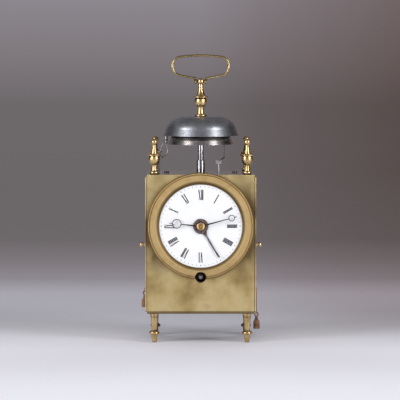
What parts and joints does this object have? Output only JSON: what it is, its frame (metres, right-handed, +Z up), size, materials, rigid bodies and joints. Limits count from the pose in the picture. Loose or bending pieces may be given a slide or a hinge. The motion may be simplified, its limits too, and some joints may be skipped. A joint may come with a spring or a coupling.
{
  "type": "lantern clock",
  "caption": "Brass-cased striking and alarm travelling clock with an enamel dial, bells and a swinging loop handle on top, turned feet and finials, hinged doors and a tasselled cord.",
  "frame": {"origin": "on the surface that the feet stand on, under the middle of the clock's outer box", "axes": "+Z up, +X to the right of someone who looks at the dial, +Y to the back; the dial faces -Y"},
  "size_m": [0.123, 0.1032, 0.2882],
  "materials": {
    "case_brass": "rolled sheet, aged and dull, with fine scratches",
    "turned_brass": "turned and polished",
    "gilt_brass": "satin lacquered",
    "handle_brass": "drawn wire, worn bright",
    "enamel": "glossy white enamel on copper",
    "blued_steel": "blued",
    "movement_brass": "satin",
    "movement_steel": "polished",
    "spring_steel": "blue tempered",
    "stand_steel": "polished",
    "bright_bell": "bright turned bell metal",
    "dull_bell": "dull turned bell metal",
    "cord": "twisted silk cord",
    "tassel": "silk threads"
  },
  "bodies": {
    "case": {"base_plate": "case_brass", "top_plate": "case_brass", "corner_posts": "case_brass", "front_plate": "case_brass", "cord_eyelets": "turned_brass", "feet": "turned_brass", "finials": "turned_brass", "bezel": "gilt_brass", "bezel_screws": "blued_steel", "dial": "enamel", "wheel_studs": "movement_steel", "movement_front_plate": "movement_brass", "movement_back_plate": "movement_brass", "pillars": "movement_brass", "pillar_pins": "movement_steel", "top_screws": "blued_steel", "suspension_cock": "movement_brass", "bell_stand": "stand_steel", "lower_bell": "bright_bell", "upper_bell": "dull_bell", "bell_spacer": "turned_brass", "handle_stem": "turned_brass", "handle_pivot": "handle_brass", "alarm_bracket": "movement_brass", "alarm_cord": "cord", "left_cord": "cord", "right_cord": "cord"},
    "centre_arbor": {"centre_arbor": "movement_brass", "cannon_pinion": "movement_brass", "minute_hand": "blued_steel", "hand_collet": "gilt_brass"},
    "hour_wheel": {"hour_wheel": "movement_brass", "hour_hand": "blued_steel"},
    "alarm_hand": {"alarm_hand": "blued_steel"},
    "minute_wheel": {"minute_wheel": "movement_brass"},
    "inner_wheel": {"inner_wheel": "movement_brass"},
    "third_wheel": {"third_wheel": "movement_brass"},
    "escape_wheel": {"escape_wheel": "movement_brass"},
    "barrel": {"barrel": "movement_brass", "barrel_cap": "movement_brass", "mainspring": "spring_steel"},
    "winding_arbor": {"winding_arbor": "movement_steel"},
    "pendulum": {"pendulum": "movement_brass"},
    "anchor": {"anchor": "movement_steel"},
    "pin_wheel": {"pin_wheel": "movement_brass"},
    "strike_great_wheel": {"strike_great_wheel": "movement_brass", "strike_click": "movement_steel"},
    "warning_wheel": {"warning_wheel": "movement_brass"},
    "fly": {"fly": "movement_brass"},
    "count_wheel": {"count_wheel": "movement_brass"},
    "release_lever": {"release_lever": "movement_steel"},
    "strike_hammer": {"strike_hammer": "movement_steel"},
    "alarm_hammer": {"alarm_hammer": "movement_steel"},
    "alarm_pulley": {"alarm_pulley": "movement_brass"},
    "left_tassel": {"left_tassel": "tassel"},
    "right_tassel": {"right_tassel": "tassel"},
    "left_door": {"left_door": "case_brass"},
    "right_door": {"right_door": "case_brass"},
    "rear_door": {"rear_door": "case_brass"},
    "handle": {"handle": "handle_brass"}
  },
  "joints": [
    {"name": "centre_arbor_turn", "type": "hinge", "parent": "case", "child": "centre_arbor", "pos_m": [0, 0, 0.1173], "axis": [0, 1, 0], "continuous": true},
    {"name": "hour_wheel_turn", "type": "hinge", "parent": "case", "child": "hour_wheel", "pos_m": [0, 0, 0.1173], "axis": [0, 1, 0], "continuous": true},
    {"name": "alarm_hand_turn", "type": "hinge", "parent": "hour_wheel", "child": "alarm_hand", "pos_m": [0, 0, 0.1173], "axis": [0, 1, 0], "continuous": true},
    {"name": "minute_wheel_turn", "type": "hinge", "parent": "case", "child": "minute_wheel", "pos_m": [-0.00849, 0, 0.10881], "axis": [0, 1, 0], "continuous": true},
    {"name": "inner_wheel_turn", "type": "hinge", "parent": "case", "child": "inner_wheel", "pos_m": [0.00637, 0, 0.09603], "axis": [0, 1, 0], "continuous": true},
    {"name": "third_wheel_turn", "type": "hinge", "parent": "case", "child": "third_wheel", "pos_m": [0.01439, 0, 0.13232], "axis": [0, 1, 0], "continuous": true},
    {"name": "escape_wheel_turn", "type": "hinge", "parent": "case", "child": "escape_wheel", "pos_m": [0, 0, 0.1443], "axis": [0, 1, 0], "continuous": true},
    {"name": "barrel_turn", "type": "hinge", "parent": "case", "child": "barrel", "pos_m": [0, 0, 0.0659], "axis": [0, 1, 0], "continuous": true},
    {"name": "winding_arbor_turn", "type": "hinge", "parent": "case", "child": "winding_arbor", "pos_m": [0, 0, 0.0659], "axis": [0, 1, 0], "continuous": true},
    {"name": "pendulum_swing", "type": "hinge", "parent": "case", "child": "pendulum", "pos_m": [0, 0.0208, 0.157], "axis": [0, 1, 0], "range_deg": [-3.5, 3.5]},
    {"name": "anchor_swing", "type": "hinge", "parent": "case", "child": "anchor", "pos_m": [0, 0, 0.157], "axis": [0, 1, 0], "range_deg": [-3.6, 3.6]},
    {"name": "pin_wheel_turn", "type": "hinge", "parent": "case", "child": "pin_wheel", "pos_m": [-0.016, 0, 0.09222], "axis": [0, 1, 0], "continuous": true},
    {"name": "strike_great_wheel_turn", "type": "hinge", "parent": "case", "child": "strike_great_wheel", "pos_m": [0, 0, 0.0659], "axis": [0, 1, 0], "continuous": true},
    {"name": "warning_wheel_turn", "type": "hinge", "parent": "case", "child": "warning_wheel", "pos_m": [-0.02, 0, 0.10874], "axis": [0, 1, 0], "continuous": true},
    {"name": "fly_turn", "type": "hinge", "parent": "case", "child": "fly", "pos_m": [-0.02201, 0, 0.12219], "axis": [0, 1, 0], "continuous": true},
    {"name": "count_wheel_turn", "type": "hinge", "parent": "case", "child": "count_wheel", "pos_m": [-0.014, 0, 0.07469], "axis": [0, 1, 0], "continuous": true},
    {"name": "release_lever_lift", "type": "hinge", "parent": "case", "child": "release_lever", "pos_m": [-0.024, 0, 0.134], "axis": [0, 1, 0], "range_deg": [0, 6]},
    {"name": "strike_hammer_lift", "type": "hinge", "parent": "case", "child": "strike_hammer", "pos_m": [-0.036, 0, 0.15], "axis": [0, -1, 0], "range_deg": [0, 4], "stiffness_Nm_per_rad": 0.01, "springref_deg": -8.59},
    {"name": "alarm_hammer_swing", "type": "hinge", "parent": "case", "child": "alarm_hammer", "pos_m": [0.0181, 0.015, 0], "axis": [0, 0, 1], "range_deg": [-14, 0]},
    {"name": "left_tassel_pull", "type": "slide", "parent": "case", "child": "left_tassel", "axis": [0, 0, -1], "range_m": [0, 0.022], "deforming": ["left_cord"]},
    {"name": "right_tassel_lift", "type": "slide", "parent": "case", "child": "right_tassel", "axis": [0, 0, 1], "range_m": [0, 0.022], "deforming": ["right_cord"]},
    {"name": "alarm_pulley_turn", "type": "hinge", "parent": "case", "child": "alarm_pulley", "pos_m": [0.0181, 0, 0.04455], "axis": [0, -1, 0], "range_deg": [0, 312]},
    {"name": "left_door_swing", "type": "hinge", "parent": "case", "child": "left_door", "pos_m": [-0.0515, 0.0288, 0], "axis": [0, 0, -1], "range_deg": [0, 100]},
    {"name": "right_door_swing", "type": "hinge", "parent": "case", "child": "right_door", "pos_m": [0.0515, 0.0288, 0], "axis": [0, 0, 1], "range_deg": [0, 100]},
    {"name": "rear_door_swing", "type": "hinge", "parent": "case", "child": "rear_door", "pos_m": [-0.0391, 0.04478, 0], "axis": [0, 0, 1], "range_deg": [0, 110]},
    {"name": "handle_swing", "type": "hinge", "parent": "case", "child": "handle", "pos_m": [0, 0.0018, 0.2608], "axis": [1, 0, 0], "range_deg": [-150, 150]}
  ],
  "couplings": [
    {"joint": "hour_wheel_turn", "follows": "centre_arbor_turn", "ratio": 0.083333},
    {"joint": "minute_wheel_turn", "follows": "centre_arbor_turn", "ratio": -0.33333},
    {"joint": "inner_wheel_turn", "follows": "centre_arbor_turn", "ratio": -0.15625},
    {"joint": "barrel_turn", "follows": "centre_arbor_turn", "ratio": 0.020032},
    {"joint": "third_wheel_turn", "follows": "centre_arbor_turn", "ratio": -12},
    {"joint": "escape_wheel_turn", "follows": "centre_arbor_turn", "ratio": 144},
    {"joint": "anchor_swing", "follows": "pendulum_swing", "ratio": 1},
    {"joint": "strike_great_wheel_turn", "follows": "pin_wheel_turn", "ratio": -0.12821},
    {"joint": "warning_wheel_turn", "follows": "pin_wheel_turn", "ratio": -7.5},
    {"joint": "fly_turn", "follows": "pin_wheel_turn", "ratio": 56.25},
    {"joint": "count_wheel_turn", "follows": "pin_wheel_turn", "ratio": -0.088889},
    {"joint": "right_tassel_lift", "follows": "left_tassel_pull", "ratio": 1},
    {"joint": "alarm_pulley_turn", "follows": "left_tassel_pull", "rad_per_m": 246.91}
  ]
}
